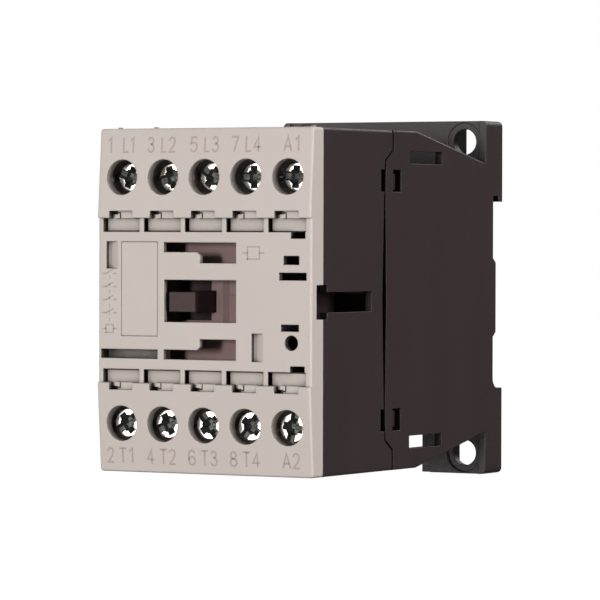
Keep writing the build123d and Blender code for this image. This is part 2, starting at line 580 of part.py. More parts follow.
with BuildPart() as fixed_tips:
    for x in POLE_X:
        for side in TOP_AND_BOTTOM:
            rod(x, (FIXED_TIP_Y, ARM_Y[0]), side * TIP_Z, TIP_RADIUS)
finish(fixed_tips, "fixed_contact_tips")


# Moving contacts ---------------------------------------------------------------------------
SPRING_RADIUS = 1.9
SPRING_WIRE = 0.5

for number, x in enumerate(POLE_X, start=1):
    with BuildPart() as bridge:
        cuboid(span(x, BRIDGE_HALF[0]), BRIDGE_Y, (-BRIDGE_HALF[1], BRIDGE_HALF[1]))
        fillet(bridge.edges().filter_by(Axis.Y), 0.8)
    finish(bridge, f"contact_bridge_{number}")

    with BuildPart() as tips:
        for side in TOP_AND_BOTTOM:
            rod(x, (BRIDGE_Y[1], MOVING_TIP_Y), side * TIP_Z, TIP_RADIUS)
    finish(tips, f"bridge_tips_{number}")

    with BuildPart() as spring:
        rod(x, (WINDOW_Y[0], BRIDGE_Y[0]), 0, SPRING_RADIUS)
        rod(x, (WINDOW_Y[0], BRIDGE_Y[0]), 0, SPRING_RADIUS - SPRING_WIRE, Mode.SUBTRACT)
    finish(spring, f"contact_spring_{number}")


# Contact carrier ---------------------------------------------------------------------------
LUG_X = (STACK_HALF_X + 0.2, STACK_HALF_X + 1.9)
LUG_HALF_Z = 4.5
RETURN_SPRING_X = 9.7

with BuildPart() as carrier:
    cuboid(BEAM_X, BEAM_Y, span(0, BEAM_HALF_Z))
    for x in POLE_X:
        cuboid(span(x, WINDOW_HALF_X), WINDOW_Y, span(0, BEAM_HALF_Z), Mode.SUBTRACT)
    cuboid(span(POLE_CENTRE_X, STEM_HALF_X), (BEAM_Y[1], YOKE_PLATE_Y[0]), span(0, BEAM_HALF_Z))
    cuboid(BLOCK_X, (BLOCK_FRONT_Y, BEAM_Y[0]), BLOCK_Z)
    front_edges = carrier.faces().sort_by(Axis.Y)[0].edges()
    fillet(front_edges, 0.15)
    cuboid(span(0, YOKE_PLATE_HALF[0]), YOKE_PLATE_Y, span(0, YOKE_PLATE_HALF[1]))
    for side in LEFT_AND_RIGHT:
        cuboid(mirrored(*LUG_X, side), (YOKE_PLATE_Y[1], -34.5), span(0, LUG_HALF_Z))
    with Locations(Location((0, PIN_Y, 0), (0, 90, 0))):
        Cylinder(PIN_RADIUS + 0.03, 2 * LUG_X[1] + 1, mode=Mode.SUBTRACT)
finish(carrier, "contact_carrier")


# Magnet ------------------------------------------------------------------------------------
def e_shape(face_y, back_y):
    """Stack of E-shaped laminations with its pole faces at face_y and its yoke ending at back_y."""
    yoke_y = back_y - YOKE_THICKNESS if back_y > face_y else back_y + YOKE_THICKNESS
    whole = (min(face_y, back_y), max(face_y, back_y))
    legs = (min(face_y, yoke_y), max(face_y, yoke_y))
    cuboid(span(0, STACK_HALF_X), whole, span(0, CORE_HALF_Z))
    for end in TOP_AND_BOTTOM:
        cuboid(span(0, STACK_HALF_X), legs, mirrored(CENTRE_LEG_HALF, OUTER_LEG_Z, end), Mode.SUBTRACT)


CORE_RIVET_Y = CORE_Y[1] - YOKE_THICKNESS / 2
CORE_RIVET_Z = (-13.9, -4.6, 4.6, 13.9)
RING_Z = (13.4, 17.9)
RING_BAR = 0.8
RING_Y = (CORE_Y[0] + 0.2, CORE_Y[0] + 1.3)
RING_HALF_X = STACK_HALF_X + 0.1 + RING_BAR

with BuildPart() as fixed_core:
    e_shape(CORE_Y[0], CORE_Y[1])
    with Locations([Location((0, CORE_RIVET_Y, z), (0, 90, 0)) for z in CORE_RIVET_Z]):
        Cylinder(RIVET_RADIUS + 0.03, 3 * STACK_HALF_X, mode=Mode.SUBTRACT)
    for side in TOP_AND_BOTTOM:
        cuboid(span(0, STACK_HALF_X), (CORE_Y[0], RING_Y[1] + 0.1),
               mirrored(RING_Z[0] - 0.1, RING_Z[0] + RING_BAR + 0.1, side), Mode.SUBTRACT)
finish(fixed_core, "fixed_core")

with BuildPart() as core_rivets:
    with Locations([Location((0, CORE_RIVET_Y, z), (0, 90, 0)) for z in CORE_RIVET_Z]):
        Cylinder(RIVET_RADIUS, 2 * STACK_HALF_X)
    for side in LEFT_AND_RIGHT:
        middle = side * (STACK_HALF_X + RIVET_HEAD / 2)
        with Locations([Location((middle, CORE_RIVET_Y, z), (0, 90, 0)) for z in CORE_RIVET_Z]):
            Cylinder(RIVET_HEAD_RADIUS, RIVET_HEAD)
finish(core_rivets, "core_rivets")

with BuildPart() as shading_rings:
    for side in TOP_AND_BOTTOM:
        cuboid(span(0, RING_HALF_X), RING_Y, mirrored(*RING_Z, side))
        cuboid(span(0, RING_HALF_X - RING_BAR), RING_Y,
               mirrored(RING_Z[0] + RING_BAR, RING_Z[1] - RING_BAR, side), Mode.SUBTRACT)
finish(shading_rings, "shading_rings")

with BuildPart() as armature:
    e_shape(ARMATURE_Y[1], ARMATURE_Y[0])
    with Locations(Location((0, PIN_Y, 0), (0, 90, 0))):
        Cylinder(PIN_RADIUS + 0.03, 3 * STACK_HALF_X, mode=Mode.SUBTRACT)
finish(armature, "armature")

with BuildPart() as armature_pin:
    with Locations(Location((0, PIN_Y, 0), (0, 90, 0))):
        Cylinder(PIN_RADIUS, 2 * LUG_X[1])
    chamfer(armature_pin.edges(), 0.2)
finish(armature_pin, "armature_pin")

with BuildPart() as core_damper:
    cuboid(span(0, STACK_HALF_X), (CORE_Y[1], CHAMBER_FLOOR_Y), span(0, CORE_HALF_Z - 1.5))
    fillet(core_damper.edges().filter_by(Axis.Y), 1.0)
finish(core_damper, "core_damper")


# Coil --------------------------------------------------------------------------------------
TUBE_HALF = (STACK_HALF_X + 0.25 + TUBE_WALL, CENTRE_LEG_HALF + 0.2 + TUBE_WALL)
WINDING_Y = (BOBBIN_Y[0] + FLANGE_THICKNESS, BOBBIN_Y[1] - FLANGE_THICKNESS)

with BuildPart() as coil_bobbin:
    cuboid(span(0, TUBE_HALF[0]), BOBBIN_Y, span(0, TUBE_HALF[1]))
    for y in (BOBBIN_Y[0], WINDING_Y[1]):
        cuboid(span(0, FLANGE_HALF[0]), (y, y + FLANGE_THICKNESS), span(0, FLANGE_HALF[1]))
    cuboid(span(0, TUBE_HALF[0] - TUBE_WALL), BOBBIN_Y, span(0, TUBE_HALF[1] - TUBE_WALL), Mode.SUBTRACT)
    fillet(coil_bobbin.edges().filter_by(Axis.Y).filter_by(lambda e: e.length < 2), 1.0)
finish(coil_bobbin, "coil_bobbin")

with BuildPart() as coil_winding:
    cuboid(span(0, WINDING_HALF[0]), WINDING_Y, span(0, WINDING_HALF[1]))
    fillet(coil_winding.edges().filter_by(Axis.Y), 3.0)
    cuboid(span(0, TUBE_HALF[0]), WINDING_Y, span(0, TUBE_HALF[1]), Mode.SUBTRACT)
    # Leads from the winding's right side to the coil terminal strips
    for side in TOP_AND_BOTTOM:
        lead_y = WINDING_Y[0] + 0.8
        with BuildLine() as route:
            FilletPolyline(
                (WINDING_HALF[0] - 0.2, lead_y, side * 6.0),
                (WINDING_HALF[0] + 2.4, lead_y, side * 6.0),
                (COIL_X - 1.0, lead_y - 1.6, side * 12.0),
                (COIL_X - 1.0, lead_y - 3.2, side * (STRIP_STEP_Z - LEAD_RADIUS)),
                radius=1.2,
            )
        with BuildSketch(Plane(route.line @ 0, z_dir=route.line % 0)):
            Circle(LEAD_RADIUS)
        sweep(path=route.line)
finish(coil_winding, "coil_winding")

with BuildPart() as return_springs:
    for side in LEFT_AND_RIGHT:
        length = (YOKE_PLATE_Y[1], BOBBIN_Y[0])
        rod(side * RETURN_SPRING_X, length, 0, SPRING_RADIUS)
        rod(side * RETURN_SPRING_X, length, 0, SPRING_RADIUS - SPRING_WIRE, Mode.SUBTRACT)
finish(return_springs, "return_springs")


# Rail latch --------------------------------------------------------------------------------
LATCH_WINDOW = (-24.8, -18.4)

with BuildPart() as rail_latch:
    cuboid(span(0, LATCH_FLANGE_HALF), (LATCH_Y[0], -3.0), LATCH_Z)
    cuboid(span(0, LATCH_BODY_HALF), (-3.0, LATCH_Y[1]), LATCH_Z)
    with BuildSketch(Plane.YZ):
        nose = [(-2.7, LATCH_NOSE_Z), (-2.1, LATCH_NOSE_Z)]
        side_profile([(-2.7, LATCH_Z[1]), *nose, (LATCH_Y[1], LATCH_Z[1])])
    extrude(amount=LATCH_BODY_HALF, both=True)
    cuboid((-1.6, 1.6), (LATCH_Y[0], LATCH_Y[1]), LATCH_WINDOW, Mode.SUBTRACT)
    cuboid((-2.5, 2.5), (-2.0, LATCH_Y[1]), (-26.3, -25.3), Mode.SUBTRACT)
finish(rail_latch, "rail_latch")

with BuildPart() as latch_spring:
    with Locations((0, -2.7, (-23.8 + LATCH_WINDOW[1]) / 2)):
        Cylinder(1.3, LATCH_WINDOW[1] + 23.8)
        Cylinder(0.9, LATCH_WINDOW[1] + 23.8, mode=Mode.SUBTRACT)
finish(latch_spring, "rail_latch_spring")
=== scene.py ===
import json
import math

import bmesh
import bpy
from mathutils import Matrix, Vector


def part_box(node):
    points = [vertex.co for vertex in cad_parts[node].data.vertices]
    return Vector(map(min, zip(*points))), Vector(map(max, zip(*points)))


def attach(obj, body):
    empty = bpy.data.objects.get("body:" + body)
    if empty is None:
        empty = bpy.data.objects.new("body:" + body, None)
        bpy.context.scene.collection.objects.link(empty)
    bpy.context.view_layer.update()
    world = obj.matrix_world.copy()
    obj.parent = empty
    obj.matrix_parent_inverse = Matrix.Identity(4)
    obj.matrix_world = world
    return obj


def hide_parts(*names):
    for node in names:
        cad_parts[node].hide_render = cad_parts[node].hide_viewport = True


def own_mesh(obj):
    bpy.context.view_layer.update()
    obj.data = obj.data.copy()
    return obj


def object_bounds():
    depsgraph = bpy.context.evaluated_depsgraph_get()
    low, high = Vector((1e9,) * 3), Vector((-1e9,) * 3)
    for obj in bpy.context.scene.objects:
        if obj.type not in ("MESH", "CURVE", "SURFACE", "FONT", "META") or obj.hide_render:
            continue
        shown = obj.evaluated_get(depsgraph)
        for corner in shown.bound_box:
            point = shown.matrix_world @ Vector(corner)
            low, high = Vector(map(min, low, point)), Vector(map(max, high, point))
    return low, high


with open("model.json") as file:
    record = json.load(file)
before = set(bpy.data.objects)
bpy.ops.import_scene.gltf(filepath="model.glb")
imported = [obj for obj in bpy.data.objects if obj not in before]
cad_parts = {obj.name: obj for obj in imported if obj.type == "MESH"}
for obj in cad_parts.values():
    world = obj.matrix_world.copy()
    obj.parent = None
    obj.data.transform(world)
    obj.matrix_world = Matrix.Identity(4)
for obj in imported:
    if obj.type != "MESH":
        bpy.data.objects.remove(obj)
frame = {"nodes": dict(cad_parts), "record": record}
cad_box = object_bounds()

# Sizes are in metres unless a comment says otherwise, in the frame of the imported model:
# +X to the right, the front faces -Y, +Z up, and the mounting plane is Y = 0.
MM = 0.001
FULL_TURN = 2 * math.pi
LANES = ("1", "2", "3", "4")
LINE_TERMINALS = ("l1", "l2", "l3", "l4", "a1")
LOAD_TERMINALS = ("t1", "t2", "t3", "t4", "a2")
# Points closer than this are one point
WELD_DISTANCE = 1e-7


# Materials ---------------------------------------------------------------------------------
# Places of a Mix node's colour sockets among its inputs and outputs
MIX_FACTOR, MIX_FIRST, MIX_SECOND, MIX_RESULT = 0, 6, 7, 2
# Range that a noise's values mostly keep to
NOISE_RANGE = (0.3, 0.7)
# Agreement of the softened and the true normal on a flat face, and on a sharp edge
EDGE_AGREEMENT = (0.995, 0.8)
# Openness of a surface deep in a hole, and out in the open, between which shade is painted into holes and
# slots
PAINTED_SHADE_OPENNESS = (0.3, 0.82)
# How far round a surface the painted shade of holes and slots looks for walls
PAINTED_SHADE_REACH = 4 * MM
FLOW_PATCH_SIZE = 14 * MM
SPECKLE_SIZE = 0.7 * MM
SCRATCH_SIZE = 0.09 * MM
TARNISH_SIZE = 2.6 * MM
PLATING_WAVE_SIZE = 1.1 * MM
PLATING_PIT_SIZE = 0.16 * MM
PLATING_PIT_DEPTH = 0.004 * MM
PLATING_EDGE_RADIUS = 0.08 * MM
SHEET_THICKNESS = 0.5 * MM
SHEET_STEP_DEPTH = 0.04 * MM
SHEET_EDGE_RADIUS = 0.1 * MM
RUST_SIZE = 3 * MM
RUST_TINT = (0.30, 0.25, 0.21)
SEAM_TINT = (0.03, 0.028, 0.026)
INK_PATCH_SIZE = 0.5 * MM


def add(tree, kind, inputs=None, **settings):
    """New shader node; each input takes a plain value or another node's output."""
    node = tree.nodes.new("ShaderNode" + kind)
    for key, value in settings.items():
        setattr(node, key, value)
    for key, value in (inputs or {}).items():
        if isinstance(value, bpy.types.NodeSocket):
            tree.links.new(value, node.inputs[key])
        else:
            node.inputs[key].default_value = value
    return node


def noise(tree, vector, size, detail=3.0, roughness=0.5):
    """Soft noise from 0 to 1 whose features measure about the given size."""
    values = {"Vector": vector, "Scale": 1 / size, "Detail": detail, "Roughness": roughness}
    return add(tree, "TexNoise", values).outputs["Fac"]


def remap(tree, value, source, target):
    """Value stretched from the source range to the target range, and held within it."""
    inputs = {"Value": value, "From Min": source[0], "From Max": source[1]}
    inputs.update({"To Min": target[0], "To Max": target[1]})
    return add(tree, "MapRange", inputs, clamp=True).outputs["Result"]


def blend_colours(tree, factor, first, second):
    """Colour that goes from the first to the second as the factor goes from 0 to 1."""
    node = add(tree, "Mix", data_type="RGBA")
    for index, value in ((MIX_FACTOR, factor), (MIX_FIRST, first), (MIX_SECOND, second)):
        if isinstance(value, bpy.types.NodeSocket):
            tree.links.new(value, node.inputs[index])
        elif index == MIX_FACTOR:
            node.inputs[index].default_value = value
        else:
            node.inputs[index].default_value = (*value, 1)
    return node.outputs[MIX_RESULT]


def scaled(colour, factor):
    """Colour made lighter or darker."""
    return tuple(min(1.0, channel * factor) for channel in colour)


def start_material(name, colour, roughness, metallic=0.0, specular=0.5):
    """Empty principled material with its object coordinates."""
    material = bpy.data.materials.new(name)
    material.use_nodes = True
    material.diffuse_color = (*colour, 1)
    tree = material.node_tree
    tree.nodes.clear()
    surface = add(tree, "BsdfPrincipled")
    surface.inputs["Base Color"].default_value = (*colour, 1)
    surface.inputs["Roughness"].default_value = roughness
    surface.inputs["Metallic"].default_value = metallic
    surface.inputs["Specular IOR Level"].default_value = specular
    output = add(tree, "OutputMaterial")
    tree.links.new(surface.outputs["BSDF"], output.inputs["Surface"])
    place = add(tree, "TexCoord").outputs["Object"]
    return material, tree, surface, place


def dress_surface(tree, surface, colour, roughness, normal=None):
    """Links the finished colour, roughness and normal to a material's surface."""
    tree.links.new(colour, surface.inputs["Base Color"])
    tree.links.new(roughness, surface.inputs["Roughness"])
    if normal is not None:
        tree.links.new(normal, surface.inputs["Normal"])


def bumped(tree, height, depth, normal, strength=1.0):
    """Normal disturbed by a height between 0 and 1 that stands for the given depth."""
    inputs = {"Strength": strength, "Distance": depth, "Height": height, "Normal": normal}
    return add(tree, "Bump", inputs).outputs["Normal"]


def rounded_edges(tree, radius):
    """Normal that runs softly round sharp edges, and a mask that is 1 along them."""
    soft = add(tree, "Bevel", {"Radius": radius}, samples=6).outputs["Normal"]
    true = add(tree, "NewGeometry").outputs["Normal"]
    agreement = add(tree, "VectorMath", operation="DOT_PRODUCT")
    tree.links.new(soft, agreement.inputs[0])
    tree.links.new(true, agreement.inputs[1])
    mask = remap(tree, agreement.outputs["Value"], EDGE_AGREEMENT, (0.0, 1.0))
    return soft, mask


def painted_shade_in_hollows(tree, colour, darkness):
    """Colour with shade painted into narrow holes and slots by their openness, by the darkness from 0 for
    none to 1 for black.
    """
    openness = add(tree, "AmbientOcclusion", {"Distance": PAINTED_SHADE_REACH}, samples=8).outputs["AO"]
    share = remap(tree, openness, PAINTED_SHADE_OPENNESS, (darkness, 0.0))
    return blend_colours(tree, share, colour, (0.0, 0.0, 0.0))


def moulded_plastic(name, colour, roughness, grain=0.00012, grain_depth=0.000006, mottle=0.04,
                    edge_gain=1.25, edge_radius=0.00018, flow=(1, 1, 1), specular=0.5, painted_hollow_shade=None):
    """Spark-textured moulding: fine grain, faint flow marks, edges rubbed a little lighter, and shade
    painted into holes and slots when asked.
    """
    material, tree, surface, place = start_material(name, colour, roughness, specular=specular)
    edge_normal, edge_mask = rounded_edges(tree, edge_radius)
    stretched = add(tree, "Mapping", {"Vector": place, "Scale": flow}).outputs["Vector"]
    patches = noise(tree, stretched, FLOW_PATCH_SIZE, detail=4.0)
    speckle = noise(tree, place, SPECKLE_SIZE, detail=2.0)
    grains = noise(tree, place, grain, detail=2.0)
    flow_marks = remap(tree, patches, NOISE_RANGE, (0, 1))
    tone = blend_colours(tree, flow_marks, scaled(colour, 1 - mottle), scaled(colour, 1 + mottle))
    specks = remap(tree, speckle, (0.55, 0.8), (0, 0.35))
    tone = blend_colours(tree, specks, tone, scaled(colour, 1 - 1.6 * mottle))
    wear = remap(tree, patches, (0.35, 0.65), (0.25, 0.9))
    worn = blend_colours(tree, wear, tone, scaled(colour, edge_gain))
    tone = blend_colours(tree, edge_mask, tone, worn)
    # Painted shade: the colour falls off towards black in holes and slots
    if painted_hollow_shade:
        tone = painted_shade_in_hollows(tree, tone, painted_hollow_shade)
    dullness = remap(tree, speckle, NOISE_RANGE, (roughness - 0.05, roughness + 0.07))
    dress_surface(tree, surface, tone, dullness, bumped(tree, grains, grain_depth, edge_normal))
    return material


def rolled_metal(name, colour, roughness, grain_along=(1, 1, 1), tarnish=(0.8, 0.8, 0.8),
                 tarnish_share=0.35, scratch_depth=0.000003, edge_radius=0.00012):
    """Rolled, drawn or stamped metal: scratches along its grain, uneven tarnish and bright edges."""
    material, tree, surface, place = start_material(name, colour, roughness, metallic=1.0)
    edge_normal, edge_mask = rounded_edges(tree, edge_radius)
    along = add(tree, "Mapping", {"Vector": place, "Scale": grain_along}).outputs["Vector"]
    scratches = noise(tree, along, SCRATCH_SIZE, detail=3.0)
    cloud = noise(tree, place, TARNISH_SIZE, detail=5.0, roughness=0.6)
    dull = tuple(channel * share for channel, share in zip(colour, tarnish))
    tone = blend_colours(tree, remap(tree, cloud, (0.35, 0.7), (0, tarnish_share * 2)), colour, dull)
    tone = blend_colours(tree, edge_mask, tone, scaled(colour, 1.12))
    dullness = remap(tree, cloud, NOISE_RANGE, (roughness * 0.85, roughness * 1.35))
    dress_surface(tree, surface, tone, dullness, bumped(tree, scratches, scratch_depth, edge_normal))
    return material


def plated_screw(name, colour, roughness, waviness):
    """Bright plated steel whose surface is slightly wavy, so that its reflections wander."""
    material, tree, surface, place = start_material(name, colour, roughness, metallic=1.0)
    edge_normal, edge_mask = rounded_edges(tree, PLATING_EDGE_RADIUS)
    waves = noise(tree, place, PLATING_WAVE_SIZE, detail=1.0)
    pits = noise(tree, place, PLATING_PIT_SIZE, detail=2.0)
    tone = blend_colours(tree, remap(tree, pits, (0.55, 0.75), (0, 0.5)), colour, scaled(colour, 0.72))
    tone = blend_colours(tree, edge_mask, tone, scaled(colour, 1.1))
    dullness = remap(tree, waves, NOISE_RANGE, (roughness * 0.8, roughness * 1.4))
    wavy = bumped(tree, waves, waviness, edge_normal)
    pitted = bumped(tree, pits, PLATING_PIT_DEPTH, wavy, strength=0.6)
    dress_surface(tree, surface, tone, dullness, pitted)
    return material


def laminated_steel(name, colour, roughness):
    """Stack of thin sheets across X: each sheet has its own tone, with a dark seam between two."""
    material, tree, surface, place = start_material(name, colour, roughness, metallic=1.0)
    edge_normal = rounded_edges(tree, SHEET_EDGE_RADIUS)[0]
    across = add(tree, "SeparateXYZ", {"Vector": place}).outputs["X"]
    count = add(tree, "Math", {0: across, 1: SHEET_THICKNESS}, operation="DIVIDE").outputs["Value"]
    within = add(tree, "Math", {0: count, 1: 0.5}, operation="PINGPONG").outputs["Value"]
    number = add(tree, "Math", {0: count}, operation="FLOOR").outputs["Value"]
    draw = add(tree, "TexWhiteNoise", {"W": number}, noise_dimensions="1D").outputs["Value"]
    cloud = noise(tree, place, RUST_SIZE, detail=5.0)
    tone = blend_colours(tree, remap(tree, draw, (0, 1), (0, 0.55)), colour, scaled(colour, 0.62))
    tone = blend_colours(tree, remap(tree, cloud, (0.4, 0.75), (0, 0.5)), tone, RUST_TINT)
    seam = remap(tree, within, (0.02, 0.09), (1.0, 0.0))
    tone = blend_colours(tree, seam, tone, SEAM_TINT)
    dullness = remap(tree, cloud, NOISE_RANGE, (roughness * 0.8, roughness * 1.3))
    profile = remap(tree, within, (0.0, 0.12), (0, 1))
    dress_surface(tree, surface, tone, dullness, bumped(tree, profile, SHEET_STEP_DEPTH, edge_normal))
    return material


def printed_ink(name, colour):
    """Thin printed marking with an uneven, slightly mottled tone."""
    material, tree, surface, place = start_material(name, colour, 0.6)
    patches = noise(tree, place, INK_PATCH_SIZE, detail=3.0)
    share = remap(tree, patches, (0.3, 0.75), (0, 1))
    tone = blend_colours(tree, share, scaled(colour, 0.93), scaled(colour, 1.14))
    dress_surface(tree, surface, tone, remap(tree, patches, NOISE_RANGE, (0.5, 0.7)))
    return material


# The cover, housing and carrier have shade painted into their holes and slots
COVER_GREY = moulded_plastic("cover_grey", (0.58, 0.515, 0.475), 0.46, mottle=0.018, edge_gain=1.12,
                             edge_radius=0.00035, specular=0.3, painted_hollow_shade=0.95)
HOUSING_BLACK = moulded_plastic("housing_black", (0.031, 0.0198, 0.0205), 0.42, grain=0.00016,
                                grain_depth=0.000011, mottle=0.10, edge_gain=2.4, edge_radius=0.00022,
                                flow=(1, 1, 0.35), specular=0.35, painted_hollow_shade=0.6)
CARRIER_BLACK = moulded_plastic("carrier_black", (0.055, 0.034, 0.033), 0.5, grain=0.0003,
                                grain_depth=0.00004, mottle=0.12, edge_gain=1.3, specular=0.15, painted_hollow_shade=0.85)
ARC_COVER_BROWN = moulded_plastic("arc_cover_brown", (0.185, 0.119, 0.117), 0.45, mottle=0.06,
                                  edge_gain=1.35, specular=0.25)
LATCH_BLACK = moulded_plastic("latch_black", (0.026, 0.023, 0.023), 0.42, mottle=0.10, edge_gain=2.2)
BOBBIN_WHITE = moulded_plastic("bobbin_white", (0.62, 0.59, 0.52), 0.4, grain_depth=0.000003,
                               mottle=0.05, edge_gain=1.15)
DAMPER_RUBBER = moulded_plastic("damper_rubber", (0.018, 0.017, 0.017), 0.75, grain=0.0002,
                                grain_depth=0.000014, mottle=0.2, edge_gain=1.8, specular=0.3)
SCREW_NICKEL = plated_screw("screw_nickel", (0.86, 0.82, 0.78), 0.16, waviness=0.00005)
# Darker copy of the screws' nickel for their recesses: painted shade
RECESS_PAINTED_SHADE_NICKEL = plated_screw("screw_recess_painted_shade", (0.12, 0.123, 0.112), 0.6, waviness=0.00008)
CLAMP_STEEL = rolled_metal("clamp_steel", (0.62, 0.60, 0.57), 0.3, (1, 1, 0.05))
CONTACT_COPPER = rolled_metal("contact_copper", (0.80, 0.42, 0.26), 0.27, (1, 1, 0.04),
                              (0.72, 0.62, 0.6))
COIL_BRASS = rolled_metal("coil_terminal_brass", (0.80, 0.62, 0.32), 0.27, (1, 1, 0.04),
                          (0.8, 0.72, 0.6))
CONTACT_SILVER = rolled_metal("contact_silver", (0.86, 0.84, 0.80), 0.34, tarnish=(0.7, 0.68, 0.62),
                              tarnish_share=0.25)
SPRING_STEEL = rolled_metal("spring_steel", (0.56, 0.56, 0.57), 0.24, tarnish=(0.75, 0.74, 0.72))
PIN_STEEL = rolled_metal("pin_steel", (0.60, 0.60, 0.60), 0.2, (1, 0.05, 1), (0.75, 0.75, 0.75))
RING_COPPER = rolled_metal("ring_copper", (0.80, 0.44, 0.28), 0.24, (0.05, 1, 1), (0.7, 0.6, 0.58))
WINDING_ENAMEL = rolled_metal("winding_enamel", (0.62, 0.20, 0.075), 0.22, tarnish=(0.7, 0.55, 0.5),
                              tarnish_share=0.3)
LAMINATION_STEEL = laminated_steel("lamination_steel", (0.46, 0.46, 0.47), 0.34)
MARKING_INK = printed_ink("marking_ink", (0.425, 0.336, 0.307))

SLOT_MATERIALS = {
    "cover_grey": COVER_GREY,
    "housing_black": HOUSING_BLACK,
    "carrier_black": CARRIER_BLACK,
    "arc_cover_brown": ARC_COVER_BROWN,
    "latch_black": LATCH_BLACK,
    "bobbin_white": BOBBIN_WHITE,
    "damper_rubber": DAMPER_RUBBER,
    "screw_nickel": SCREW_NICKEL,
    "clamp_steel": CLAMP_STEEL,
    "contact_copper": CONTACT_COPPER,
    "coil_terminal_brass": COIL_BRASS,
    "contact_silver": CONTACT_SILVER,
    "spring_steel": SPRING_STEEL,
    "pin_steel": PIN_STEEL,
    "ring_copper": RING_COPPER,
    "winding_enamel": WINDING_ENAMEL,
    "lamination_steel": LAMINATION_STEEL,
}


def dress_cad_nodes():
    """Gives every CAD node the material of its slot in the record."""
    for subpart in frame["record"]["subparts"]:
        mesh = frame["nodes"][subpart["node"]].data
        mesh.materials.clear()
        mesh.materials.append(SLOT_MATERIALS[subpart["material_slot"]])


# Mesh building -----------------------------------------------------------------------------
# How far a cutting shape stands proud of the face that it cuts
CUT_LIP = 0.2 * MM


def mesh_from_grid(rows, close_rows=False, close_columns=True):
    """Vertices and faces of a surface given as rows of points."""
    height, width = len(rows), len(rows[0])
    vertices = [point for row in rows for point in row]
    faces = []
    for i in range(height if close_rows else height - 1):
        for j in range(width if close_columns else width - 1):
            below, beside = (i + 1) % height, (j + 1) % width
            faces.append((i * width + j, i * width + beside, below * width + beside, below * width + j))
    return vertices, faces


def capped_tube(rows):
    """Tube through closed rows of points, with a flat cap at both ends."""
    vertices, faces = mesh_from_grid(rows)
    count = len(rows[0])
    last = len(vertices) - count
    faces.append(tuple(range(count)))
    faces.append(tuple(range(last + count - 1, last - 1, -1)))
    return vertices, faces


def merge(parts):
    """One list of vertices and faces from several."""
    vertices, faces = [], []
    for part_vertices, part_faces in parts:
        start = len(vertices)
        vertices += part_vertices
        faces += [tuple(start + index for index in face) for face in part_faces]
    return vertices, faces


def make_mesh(name, vertices, faces, smooth_angle=35):
    """Mesh with outward faces, smooth except across edges sharper than the angle in degrees."""
    mesh = bpy.data.meshes.new(name)
    mesh.from_pydata([tuple(vertex) for vertex in vertices], [], faces)
    work = bmesh.new()
    work.from_mesh(mesh)
    bmesh.ops.remove_doubles(work, verts=work.verts, dist=WELD_DISTANCE)
    bmesh.ops.recalc_face_normals(work, faces=work.faces)
    work.to_mesh(mesh)
    work.free()
    mesh.shade_smooth()
    mesh.set_sharp_from_angle(angle=math.radians(smooth_angle))
    return mesh


def show(name, mesh, body, materials, replaced=()):
    """Places a finished mesh in the scene as a piece that rides on a body."""
    piece = bpy.data.objects.new(name, mesh)
    bpy.context.scene.collection.objects.link(piece)
    for material in materials:
        mesh.materials.append(material)
    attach(piece, body)
    if replaced:
        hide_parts(*replaced)
    return piece


def ring(y, radius, count):
    """Points of a circle round the Y axis."""
    angles = [FULL_TURN * step / count for step in range(count)]
    return [Vector((radius * math.cos(angle), y, radius * math.sin(angle))) for angle in angles]


def lathe(profile, count=64):
    """Closed turned shape round the Y axis from (radius, y) points."""
    return capped_tube([ring(y, radius, count) for radius, y in profile])


def tapered_block(half_front, half_back, depth):
    """Block from just in front of y = 0 to the depth, with (x, z) half sizes at its front and back."""
    corners = ((-1, -1), (1, -1), (1, 1), (-1, 1))
    vertices = []
    for y, (half_x, half_z) in ((-CUT_LIP, half_front), (depth, half_back)):
        vertices += [Vector((side_x * half_x, y, side_z * half_z)) for side_x, side_z in corners]
    faces = [(0, 1, 2, 3), (7, 6, 5, 4)]
    faces += [(i, i + 4, (i + 1) % 4 + 4, (i + 1) % 4) for i in range(4)]
    return vertices, faces


def carve(vertices, faces, cutters):
    """Mesh of a solid after each cutter has been taken out of it in turn."""
    scene = bpy.context.scene
    mesh = make_mesh("carved", vertices, faces)
    for cutter_vertices, cutter_faces in cutters:
        solid = bpy.data.objects.new("carve_solid", mesh)
        tool = bpy.data.objects.new("carve_tool", make_mesh("carve_tool", cutter_vertices, cutter_faces))
        for helper in (solid, tool):
            scene.collection.objects.link(helper)
        modifier = solid.modifiers.new("cut", "BOOLEAN")
        modifier.operation = "DIFFERENCE"
        modifier.solver = "EXACT"
        modifier.object = tool
        evaluated = solid.evaluated_get(bpy.context.evaluated_depsgraph_get())
        mesh = bpy.data.meshes.new_from_object(evaluated)
        for helper in (solid, tool):
            bpy.data.objects.remove(helper)
    return mesh


# Terminal screws ---------------------------------------------------------------------------
HEAD_RADIUS = 2.8 * MM
HEAD_THICKNESS = 2.6 * MM
HEAD_FLAT_RADIUS = 1.2 * MM
HEAD_ROUNDING = 0.38 * MM
HEAD_CHAMFER = 0.12 * MM
HEAD_SMOOTH_ANGLE = 32
# Half sizes of the cross's arms and of the through slot, at the head's face and at their floors
CROSS_HALF_FRONT = (2.15 * MM, 0.75 * MM)
CROSS_HALF_BACK = (1.2 * MM, 0.45 * MM)
CROSS_DEPTH = 1.75 * MM
SLOT_HALF_FRONT = (0.9 * MM, 3.2 * MM)
SLOT_HALF_BACK = (0.5 * MM, 3.2 * MM)
SLOT_DEPTH = 1.0 * MM
# Eight-sided pocket in the middle of the cross, as (radius, y) points
POCKET = ((1.6 * MM, -CUT_LIP), (1.5 * MM, 0.3 * MM), (0.8 * MM, 1.6 * MM), (0.3 * MM, 1.95 * MM))
POCKET_SIDES = 8
